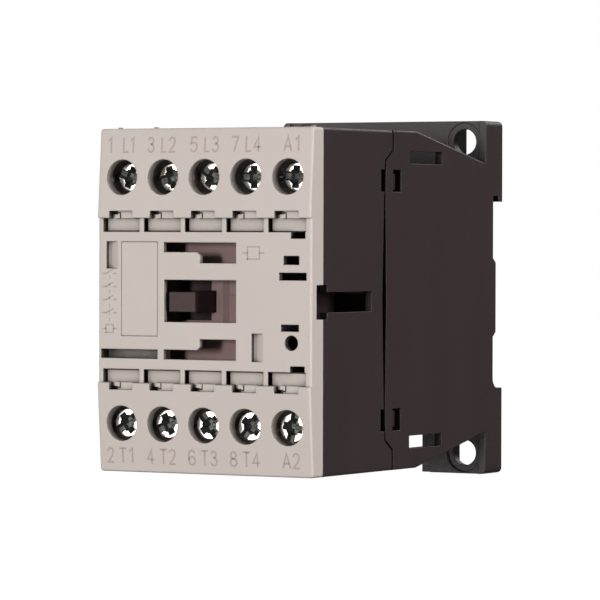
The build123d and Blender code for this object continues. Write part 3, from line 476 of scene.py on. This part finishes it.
# Faces within this share of the head's radius, and this far from its two ends, belong to the recess, which
# gets a darker copy of the nickel as painted shade
RECESS_SHARE = 0.9
RECESS_MARGIN = 0.05 * MM
SHANK_RADIUS = 1.75 * MM
SHANK_LENGTH = 8.6 * MM
SHANK_COLUMNS = 28
NECK = 0.7 * MM
TIP_LENGTH = 0.5 * MM
# Depth of the tip's chamfer as a share of the thread's depth
TIP_SHARE = 1.15
THREAD_PITCH = 0.6 * MM
THREAD_DEPTH = 0.34 * MM
# Rows of points in one pitch of the thread, and how fast its flanks rise
THREAD_ROWS = 8
THREAD_STEEPNESS = 1.25
THREAD_SMOOTH_ANGLE = 50
# Clockwise turn of each through slot from upright, in degrees, as seen from the front
SLOT_TURNS = {"l1": 112, "l2": 73, "l3": 126, "l4": 90, "a1": 95,
              "t1": 54, "t2": 63, "t3": 141, "t4": 38, "a2": 12}


def rounded(low, high, radius, steps=5):
    """Quarter arc of (radius, y) points from the front face to the side of a turned head."""
    angles = [math.pi / 2 * step / steps for step in range(steps + 1)]
    return [(high - radius + radius * math.sin(a), low + radius - radius * math.cos(a)) for a in angles]


def screw_head():
    """Pan head with a through slot and a tapered cross, its face at y = 0."""
    profile = [(HEAD_FLAT_RADIUS, 0.0)] + rounded(0.0, HEAD_RADIUS, HEAD_ROUNDING)
    profile += [(HEAD_RADIUS, HEAD_THICKNESS - HEAD_CHAMFER), (HEAD_RADIUS - HEAD_CHAMFER, HEAD_THICKNESS)]
    profile += [(SHANK_RADIUS - THREAD_DEPTH, HEAD_THICKNESS)]
    slot = tapered_block(SLOT_HALF_FRONT, SLOT_HALF_BACK, SLOT_DEPTH)
    cross = tapered_block(CROSS_HALF_FRONT, CROSS_HALF_BACK, CROSS_DEPTH)
    across = tapered_block(CROSS_HALF_FRONT[::-1], CROSS_HALF_BACK[::-1], CROSS_DEPTH)
    mesh = carve(*lathe(profile), [slot, cross, across, lathe(POCKET, POCKET_SIDES)])
    # Recess faces take the second, darker nickel, which paints shade into the recess
    for polygon in mesh.polygons:
        centre = polygon.center
        inside = math.hypot(centre.x, centre.z) < RECESS_SHARE * HEAD_RADIUS
        deep = RECESS_MARGIN < centre.y < HEAD_THICKNESS - RECESS_MARGIN
        polygon.material_index = 1 if inside and deep else 0
    return mesh


def screw_shank():
    """Neck and helical thread with a chamfered tip."""
    start, end = HEAD_THICKNESS, HEAD_THICKNESS + SHANK_LENGTH
    count = round(SHANK_LENGTH / THREAD_PITCH * THREAD_ROWS)
    rows = []
    for i in range(count + 1):
        y = start + (end - start) * i / count
        fade = min(1.0, max(0.0, (y - start - NECK) / THREAD_PITCH))
        tip = max(0.0, (y - (end - TIP_LENGTH)) / TIP_LENGTH)
        row = []
        for j in range(SHANK_COLUMNS):
            angle = FULL_TURN * j / SHANK_COLUMNS
            phase = (y / THREAD_PITCH - j / SHANK_COLUMNS) % 1.0
            groove = THREAD_DEPTH * min(1.0, abs(phase * 2 - 1) * THREAD_STEEPNESS)
            radius = SHANK_RADIUS - (groove * fade + THREAD_DEPTH * (1 - fade))
            radius = min(radius, SHANK_RADIUS - THREAD_DEPTH * TIP_SHARE * tip)
            row.append(Vector((radius * math.cos(angle), y, radius * math.sin(angle))))
        rows.append(row)
    return capped_tube(rows)


def build_screws():
    """Ten terminal screws, each with its recess turned to its own angle."""
    head = screw_head()
    shank = make_mesh("shank", *screw_shank(), smooth_angle=THREAD_SMOOTH_ANGLE)
    work = bmesh.new()
    work.from_mesh(head)
    work.from_mesh(shank)
    bmesh.ops.remove_doubles(work, verts=work.verts, dist=WELD_DISTANCE)
    for name in LINE_TERMINALS + LOAD_TERMINALS:
        low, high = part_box(f"terminal_screw_{name}")
        copy = work.copy()
        place = Matrix.Translation(((low.x + high.x) / 2, low.y, (low.z + high.z) / 2))
        turn = Matrix.Rotation(math.radians(SLOT_TURNS[name]), 4, "Y")
        copy.transform(place @ turn)
        mesh = bpy.data.meshes.new(f"screw_{name}")
        copy.to_mesh(mesh)
        copy.free()
        mesh.shade_smooth()
        mesh.set_sharp_from_angle(angle=math.radians(HEAD_SMOOTH_ANGLE))
        show(f"screw_{name}_detailed", mesh, f"screw_{name}", [SCREW_NICKEL, RECESS_PAINTED_SHADE_NICKEL],
             [f"terminal_screw_{name}"])
    work.free()


# Springs -----------------------------------------------------------------------------------
# Each spring's wire radius and number of turns, with the closed end turns counted
CONTACT_SPRING = (0.25 * MM, 5.0)
RETURN_SPRING = (0.26 * MM, 7.0)
LATCH_SPRING = (0.18 * MM, 7.0)
# Pitch of a closed end turn, as a share of the wire's thickness
END_TURN_PITCH = 1.02


def coil_spring(start, end, radius, wire, turns, sides=10, per_turn=32):
    """Compression spring of a wire radius between two points, with one closed turn at each end."""
    axis = (end - start).normalized()
    side = Vector((1, 0, 0)) if abs(axis.x) < 0.5 else Vector((0, 0, 1))
    across = axis.cross(side).normalized()
    middle = radius - wire
    length = (end - start).length - 2 * wire
    closed = 2 * wire * END_TURN_PITCH
    rolls = [FULL_TURN * j / sides for j in range(sides)]
    rows = []
    for i in range(round(turns * per_turn) + 1):
        turn = i / per_turn
        share = min(max((turn - 1) / (turns - 2), 0.0), 1.0)
        first, last = min(turn, 1.0) * closed, max(turn - turns + 1, 0.0) * closed
        rise = first + share * (length - 2 * closed) + last
        angle = FULL_TURN * turn
        outward = side * math.cos(angle) + across * math.sin(angle)
        centre = start + axis * (wire + rise) + outward * middle
        rows.append([centre + outward * (wire * math.cos(roll)) + axis * (wire * math.sin(roll))
                     for roll in rolls])
    return capped_tube(rows)


def build_springs():
    """Contact springs, return springs and the rail latch's spring."""
    for lane in LANES:
        low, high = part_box(f"contact_spring_{lane}")
        middle = (low + high) / 2
        start, end = Vector((middle.x, low.y, middle.z)), Vector((middle.x, high.y, middle.z))
        coil = coil_spring(start, end, (high.x - low.x) / 2, *CONTACT_SPRING)
        piece = show(f"contact_spring_{lane}_coil", make_mesh(f"contact_spring_{lane}", *coil), "carrier",
                     [SPRING_STEEL], [f"contact_spring_{lane}"])
        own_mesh(piece)

    low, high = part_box("return_springs")
    radius = (high.z - low.z) / 2
    coils = []
    for x in (low.x + radius, high.x - radius):
        coils.append(coil_spring(Vector((x, low.y, 0)), Vector((x, high.y, 0)), radius, *RETURN_SPRING))
    piece = show("return_springs_coils", make_mesh("return_springs", *merge(coils)), "housing",
                 [SPRING_STEEL], ["return_springs"])
    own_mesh(piece)

    low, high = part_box("rail_latch_spring")
    middle = (low + high) / 2
    start, end = Vector((middle.x, middle.y, low.z)), Vector((middle.x, middle.y, high.z))
    coil = coil_spring(start, end, (high.x - low.x) / 2, *LATCH_SPRING)
    piece = show("rail_latch_spring_coil", make_mesh("rail_latch_spring", *coil), "housing",
                 [SPRING_STEEL], ["rail_latch_spring"])
    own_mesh(piece)


# Coil winding ------------------------------------------------------------------------------
WINDING_HALF = (11.6 * MM, 10.4 * MM)
WINDING_CORNER = 3.0 * MM
WINDING_HOLE = (6.65 * MM, 6.1 * MM)
WINDING_HOLE_CORNER = 0.8 * MM
WINDING_SMOOTH_ANGLE = 60
BOBBIN_FLANGE = 1.25 * MM
# Least pitch of the outer layer's wire, and rows of points across each turn
WIRE_PITCH = 0.34 * MM
WIRE_ROWS = 5
LEAD_RADIUS = 0.35 * MM
# Share of LEAD_RADIUS that the lead's tube fills, so that it stays inside the winding's CAD box
LEAD_SLIMNESS = 0.95


def rounded_rectangle(half_x, half_z, corner, inset=0.0, steps=7):
    """Points (x, z) of a rounded rectangle, moved inwards by the inset."""
    points = []
    for sx, sz, start in ((1, 1, 0), (-1, 1, 90), (-1, -1, 180), (1, -1, 270)):
        for step in range(steps + 1):
            angle = math.radians(start + 90 * step / steps)
            radius = corner - inset
            points.append((sx * (half_x - corner) + radius * math.cos(angle),
                           sz * (half_z - corner) + radius * math.sin(angle)))
    return points


def lead_tube(points, radius, steps=10):
    """Round lead along a smooth line through the points."""
    curve = bpy.data.curves.new("lead", "CURVE")
    curve.dimensions = "3D"
    curve.bevel_depth = radius
    curve.bevel_resolution = 2
    curve.use_fill_caps = True
    spline = curve.splines.new("NURBS")
    spline.points.add(len(points) - 1)
    for point, place in zip(spline.points, points):
        point.co = (*place, 1)
    spline.order_u = 3
    spline.use_endpoint_u = True
    spline.resolution_u = steps
    helper = bpy.data.objects.new("lead", curve)
    bpy.context.scene.collection.objects.link(helper)
    mesh = bpy.data.meshes.new_from_object(helper.evaluated_get(bpy.context.evaluated_depsgraph_get()))
    bpy.data.objects.remove(helper)
    vertices = [vertex.co.copy() for vertex in mesh.vertices]
    faces = [tuple(polygon.vertices) for polygon in mesh.polygons]
    return vertices, faces


def build_winding():
    """Enamelled wire winding, whose outer layer shows each turn, and its two leads."""
    low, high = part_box("coil_winding")
    bobbin_front, bobbin_back = (corner.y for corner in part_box("coil_bobbin"))
    front, back = bobbin_front + BOBBIN_FLANGE, bobbin_back - BOBBIN_FLANGE
    turns = int((back - front) / WIRE_PITCH)
    pitch = (back - front) / turns
    rows = []
    for i in range(turns * WIRE_ROWS + 1):
        phase = (i / WIRE_ROWS) % 1.0
        inset = 0.5 * pitch * (1 - math.sqrt(max(0.0, 1 - (2 * phase - 1) ** 2)))
        outline = rounded_rectangle(*WINDING_HALF, WINDING_CORNER, inset)
        rows.append([Vector((x, front + pitch * i / WIRE_ROWS, z)) for x, z in outline])
    for y in (back, front):
        hole = rounded_rectangle(*WINDING_HOLE, WINDING_HOLE_CORNER)
        rows.append([Vector((x, y, z)) for x, z in hole])
    parts = [mesh_from_grid(rows, close_rows=True)]
    side_x, lead_x = WINDING_HALF[0], high.x - LEAD_RADIUS
    lead_y, end_y = front + 0.8 * MM, low.y + LEAD_RADIUS
    end_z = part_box("coil_terminal_a1")[0].z - LEAD_RADIUS
    for side in (1, -1):
        # Route chosen, from the first turn round the bobbin's flange to the coil terminal
        route = [
            (side_x - 0.3 * MM, lead_y, side * 5.0 * MM),
            (side_x + 1.2 * MM, lead_y, side * 5.6 * MM),
            (high.x - 2.2 * MM, lead_y - 0.4 * MM, side * 8.4 * MM),
            (lead_x, lead_y - 1.6 * MM, side * 11.6 * MM),
            (lead_x, end_y, side * 14.4 * MM),
            (lead_x, end_y, side * end_z),
        ]
        parts.append(lead_tube(route, LEAD_RADIUS * LEAD_SLIMNESS))
    mesh = make_mesh("coil_winding", *merge(parts), smooth_angle=WINDING_SMOOTH_ANGLE)
    show("coil_winding_turns", mesh, "housing", [WINDING_ENAMEL], ["coil_winding"])


# Markings ----------------------------------------------------------------------------------
def arc(centre, radius, start, end, steps=10):
    """Points of an oval arc with radius = (wide, high), in degrees anticlockwise from the right."""
    angles = [math.radians(start + (end - start) * step / steps) for step in range(steps + 1)]
    return [(centre[0] + radius[0] * math.cos(a), centre[1] + radius[1] * math.sin(a)) for a in angles]


# Width and strokes of each sign in a cell one unit high: every stroke is a list of points
SIGNS = {
    "1": (0.36, [[(0.08, 0.80), (0.30, 1.0), (0.30, 0.0)]]),
    "2": (0.45, [arc((0.22, 0.76), (0.22, 0.24), 170, -20) + [(0.36, 0.46), (0.0, 0.0), (0.46, 0.0)]]),
    "3": (0.46, [arc((0.22, 0.77), (0.20, 0.23), 160, -90), arc((0.22, 0.27), (0.24, 0.27), 90, -160)]),
    "4": (0.52, [[(0.36, 0.0), (0.36, 1.0), (0.0, 0.28), (0.52, 0.28)]]),
    "5": (0.50, [[(0.47, 1.0), (0.08, 1.0), (0.04, 0.56)] + arc((0.24, 0.32), (0.26, 0.32), 130, -150)]),
    "6": (0.50, [arc((0.25, 0.70), (0.25, 0.30), 30, 180)
                 + arc((0.25, 0.28), (0.25, 0.28), 180, 520, 20)]),
    "7": (0.50, [[(0.0, 1.0), (0.50, 1.0), (0.18, 0.0)]]),
    "8": (0.50, [arc((0.25, 0.76), (0.21, 0.24), 270, -90, 20),
                 arc((0.25, 0.26), (0.25, 0.26), 90, 450, 20)]),
    "A": (0.58, [[(0.0, 0.0), (0.29, 1.0), (0.58, 0.0)], [(0.10, 0.32), (0.48, 0.32)]]),
    "L": (0.36, [[(0.0, 1.0), (0.0, 0.0), (0.36, 0.0)]]),
    "T": (0.54, [[(0.0, 1.0), (0.54, 1.0)], [(0.27, 1.0), (0.27, 0.0)]]),
    " ": (0.14, []),
}
SIGN_GAP = 0.26
INK_HEIGHT = 0.015 * MM
STROKE_HALF = 0.18 * MM
SYMBOL_HALF = 0.13 * MM
DASH_HALF = 0.6 * SYMBOL_HALF
# How much of its half width a stroke runs past its end points, and the sharpest corner it fills
STROKE_END_SHARE = 0.4
STROKE_CORNER_LIMIT = 0.45
# Two unit directions whose sum is shorter than this are opposite
OPPOSITE_LIMIT = 1e-6
CAPITAL = 2.6 * MM
TEXT_Z = 27.1 * MM
# The terminal rows of the cover are raked: their surface falls back from RAKE_START_Z outwards
RAKE_START_Z = 15.1 * MM
RAKE_FRONT_Y = -75.0 * MM
RAKE_SLOPE = 1.15 / 16.3
FACE_Y = -74.5 * MM
TERMINAL_TEXTS = {"l1": "1 L1", "l2": "3 L2", "l3": "5 L3", "l4": "7 L4", "a1": "A1",
                  "t1": "2 T1", "t2": "4 T2", "t3": "6 T3", "t4": "8 T4", "a2": "A2"}
# Shift to the right of each text from the middle of its screw, in millimetres
TEXT_SHIFTS = {"l1": -0.36, "l2": -0.48, "l3": -0.1, "l4": -0.1, "a1": 0.62,
               "t1": -0.42, "t2": -0.48, "t3": -0.4, "t4": -0.3, "a2": 0.6}
# Further shift of the single signs of a text, in millimetres
LOAD_NUDGES = (0.25, 0, -0.1, -0.15)
SIGN_NUDGES = {"l1": (-0.38, 0, 0.45, 0.15), "t1": (0.2, 0, -0.15, -0.25),
               "t2": LOAD_NUDGES, "t3": LOAD_NUDGES, "t4": LOAD_NUDGES}


def ribbon(points, half, surface_y):
    """Flat raised stroke of a half width along (x, z) points, on the surface y = surface_y(z)."""
    points = [Vector(point) for point in points]
    left, right = [], []
    for i, point in enumerate(points):
        before = (point - points[i - 1]).normalized() if i else (points[1] - point).normalized()
        after = (points[i + 1] - point).normalized() if i < len(points) - 1 else before
        bisector = (before + after).normalized() if (before + after).length > OPPOSITE_LIMIT else after
        normal = Vector((-bisector.y, bisector.x))
        reach = half / max(STROKE_CORNER_LIMIT, normal.dot(Vector((-before.y, before.x))))
        extend = Vector((0, 0))
        if i == 0:
            extend = -before * half * STROKE_END_SHARE
        elif i == len(points) - 1:
            extend = after * half * STROKE_END_SHARE
        left.append(point + normal * reach + extend)
        right.append(point - normal * reach + extend)
    rows = []
    for edge, raised in ((left, 0), (left, 1), (right, 1), (right, 0)):
        rows.append([Vector((p.x, surface_y(p.y) - INK_HEIGHT * raised, p.y)) for p in edge])
    vertices, faces = mesh_from_grid(rows, close_rows=True, close_columns=False)
    count = len(points)
    faces.append((0, count, 2 * count, 3 * count))
    faces.append((4 * count - 1, 3 * count - 1, 2 * count - 1, count - 1))
    return vertices, faces


def raked_y(z):
    """Depth of the cover's surface over the terminal rows."""
    return RAKE_FRONT_Y + (abs(z) - RAKE_START_Z) * RAKE_SLOPE


def write(text, x, z, height, nudges=()):
    """Strokes of a text whose lower left corner is at x, z, on the raked terminal rows."""
    parts = []
    for place, sign in enumerate(text):
        width, strokes = SIGNS[sign]
        for stroke in strokes:
            nudge = nudges[place] * MM if nudges else 0
            placed = [(x + nudge + u * height, z + v * height) for u, v in stroke]
            parts.append(ribbon(placed, STROKE_HALF, raked_y))
        x += (width + SIGN_GAP) * height
    return parts


def text_width(text, height):
    """Length of a written text."""
    return height * (sum(SIGNS[sign][0] + SIGN_GAP for sign in text) - SIGN_GAP)


def build_terminal_markings():
    """Generic numbers of the terminals above and below the two rows of screws."""
    parts = []
    for name, text in TERMINAL_TEXTS.items():
        low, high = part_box(f"terminal_screw_{name}")
        x = (low.x + high.x) / 2 + TEXT_SHIFTS[name] * MM - text_width(text, CAPITAL) / 2
        z = TEXT_Z if name in LINE_TERMINALS else -TEXT_Z - CAPITAL
        parts += write(text, x, z, CAPITAL, SIGN_NUDGES.get(name, ()))
    show("terminal_markings", make_mesh("terminal_markings", *merge(parts)), "housing", [MARKING_INK])


def build_symbols():
    """Generic wiring symbols: four contacts worked by one coil, and a small coil beside the windows."""
    parts = []

    def line(points, half=SYMBOL_HALF):
        """Stroke on the cover's flat middle, through points in millimetres."""
        parts.append(ribbon([(x * MM, z * MM) for x, z in points], half, lambda z: FACE_Y))

    def contact_symbol(x, z):
        """Open contact round a centre in millimetres: a raised blade between two leads."""
        line([(x - 1.5, z), (x - 0.8, z)])
        line([(x - 0.8, z), (x + 0.7, z + 0.75)])
        line([(x + 0.8, z), (x + 1.5, z)])

    def coil_symbol(x, z, half_x, half_z, lead, overlap=0.06):
        """Box and two leads, in millimetres; the outline overlaps itself where it closes."""
        line([(x - half_x, z - half_z), (x + half_x, z - half_z), (x + half_x, z + half_z),
              (x - half_x, z + half_z), (x - half_x, z - half_z - overlap)])
        line([(x - half_x - lead, z), (x - half_x, z)])
        line([(x + half_x, z), (x + half_x + lead, z)])

    # Column at the left: a contact for each pole, with the coil below and a dashed link through them
    column_x = -20.1
    for z in (4.9, 2.5, 0.1, -2.3):
        contact_symbol(column_x, z)
    coil_symbol(column_x, -5.2, 0.8, 0.7, 0.7)
    for step in range(7):
        dash_z = -3.9 + step * 1.3
        line([(column_x, dash_z), (column_x, dash_z + 0.6)], DASH_HALF)
    # Coil at the right
    coil_symbol(10.45, 8.8, 1.25, 1.1, 1.0)
    show("wiring_symbols", make_mesh("wiring_symbols", *merge(parts)), "housing", [MARKING_INK])


# Studio ------------------------------------------------------------------------------------
CAMERA_PLACE = (0.388479, -0.716934, 0.013186)
# Turns in degrees, then the sensor's width and the focal length in millimetres
CAMERA_YAW = 29.829
CAMERA_PITCH = 0.985
CAMERA_ROLL = 0.137
CAMERA_SENSOR = 36.0
CAMERA_LENS = 248.99
CAMERA_NEAR, CAMERA_FAR = 0.05, 20.0
FLOOR_HALF = 3.0
FLOOR_GAP = 0.2 * MM
FLOOR_GREY = 0.1
FLOOR_GLOW = 0.985
FILL_COLOUR = (1.0, 0.99, 0.985, 1)
FILL_STRENGTH = 0.12


def build_floor():
    """Wide pale floor just under the mounting ears, kept near white by a glow of its own."""
    z = cad_box[0].z - FLOOR_GAP
    corners = [(side_x * FLOOR_HALF, side_y * FLOOR_HALF, z)
               for side_x, side_y in ((-1, -1), (1, -1), (1, 1), (-1, 1))]
    mesh = bpy.data.meshes.new("floor")
    mesh.from_pydata(corners, [], [(0, 1, 2, 3)])
    material = bpy.data.materials.new("floor_white")
    material.use_nodes = True
    tree = material.node_tree
    tree.nodes.clear()
    diffuse = add(tree, "BsdfDiffuse", {"Color": (FLOOR_GREY, FLOOR_GREY, FLOOR_GREY, 1)})
    glow = add(tree, "Emission", {"Color": (1, 1, 1, 1), "Strength": FLOOR_GLOW})
    both = add(tree, "AddShader")
    tree.links.new(diffuse.outputs["BSDF"], both.inputs[0])
    tree.links.new(glow.outputs["Emission"], both.inputs[1])
    output = add(tree, "OutputMaterial")
    tree.links.new(both.outputs["Shader"], output.inputs["Surface"])
    mesh.materials.append(material)
    floor = bpy.data.objects.new("floor", mesh)
    floor.visible_glossy = False
    floor.visible_diffuse = False
    bpy.context.scene.collection.objects.link(floor)


def softbox(name, place, target, size, power, colour=(1, 1, 1), gloss_only=False):
    """Soft light of a power in watts, hidden from the camera; a gloss-only one shows in gloss alone."""
    light = bpy.data.lights.new(name, "AREA")
    light.shape = "RECTANGLE"
    light.size, light.size_y = size
    light.energy = power
    light.color = colour
    lamp = bpy.data.objects.new(name, light)
    lamp.location = place
    lamp.rotation_euler = (Vector(target) - Vector(place)).to_track_quat("-Z", "Y").to_euler()
    lamp.visible_camera = False
    lamp.visible_diffuse = not gloss_only
    bpy.context.scene.collection.objects.link(lamp)


def build_lights():
    """Key light and glossy reflector in front, and fills at the side, the top and the back."""
    front, middle = (0, -0.07, 0), (0, -0.03, 0)
    softbox("key", (0.06, -1.31, 0.05), front, (0.16, 0.22), 13.2, (1.0, 0.995, 0.99))
    softbox("reflector", (-0.68, -1.25, 0.0), front, (1.2, 1.2), 15.0, gloss_only=True)
    softbox("side", (1.25, -0.1, 0.22), middle, (0.5, 0.8), 14.8, (1.0, 0.985, 0.985))
    softbox("top", (0.1, 0.15, 1.2), middle, (0.9, 0.6), 3.0)
    softbox("back", (0.2, 1.1, 0.65), middle, (0.9, 0.6), 3.5)


def build_world():
    """White to the camera, and a dim even fill to everything else."""
    world = bpy.data.worlds.new("studio")
    bpy.context.scene.world = world
    world.use_nodes = True
    tree = world.node_tree
    tree.nodes.clear()
    white = add(tree, "Background", {"Color": (1, 1, 1, 1), "Strength": 1.0})
    fill = add(tree, "Background", {"Color": FILL_COLOUR, "Strength": FILL_STRENGTH})
    rays = add(tree, "LightPath")
    mix = add(tree, "MixShader")
    tree.links.new(rays.outputs["Is Camera Ray"], mix.inputs[0])
    tree.links.new(fill.outputs["Background"], mix.inputs[1])
    tree.links.new(white.outputs["Background"], mix.inputs[2])
    output = add(tree, "OutputWorld")
    tree.links.new(mix.outputs["Shader"], output.inputs["Surface"])


def build_camera():
    """Camera at the viewing angle of the product picture."""
    yaw, pitch, roll = (math.radians(angle) for angle in (CAMERA_YAW, CAMERA_PITCH, CAMERA_ROLL))
    view = Vector((-math.sin(yaw) * math.cos(pitch), math.cos(yaw) * math.cos(pitch), -math.sin(pitch)))
    right = Vector((math.cos(yaw), math.sin(yaw), 0))
    up = right.cross(view)
    image_right = right * math.cos(roll) + up * math.sin(roll)
    image_up = up * math.cos(roll) - right * math.sin(roll)
    data = bpy.data.cameras.new("camera")
    data.sensor_width = CAMERA_SENSOR
    data.lens = CAMERA_LENS
    data.clip_start, data.clip_end = CAMERA_NEAR, CAMERA_FAR
    camera = bpy.data.objects.new("camera", data)
    axes = Matrix((image_right, image_up, -view)).transposed()
    camera.matrix_world = Matrix.Translation(CAMERA_PLACE) @ axes.to_4x4()
    bpy.context.scene.collection.objects.link(camera)
    bpy.context.scene.camera = camera


dress_cad_nodes()
build_screws()
build_springs()
build_winding()
build_terminal_markings()
build_symbols()

build_floor()
build_world()
build_lights()
build_camera()
bpy.context.scene.view_settings.view_transform = "Standard"
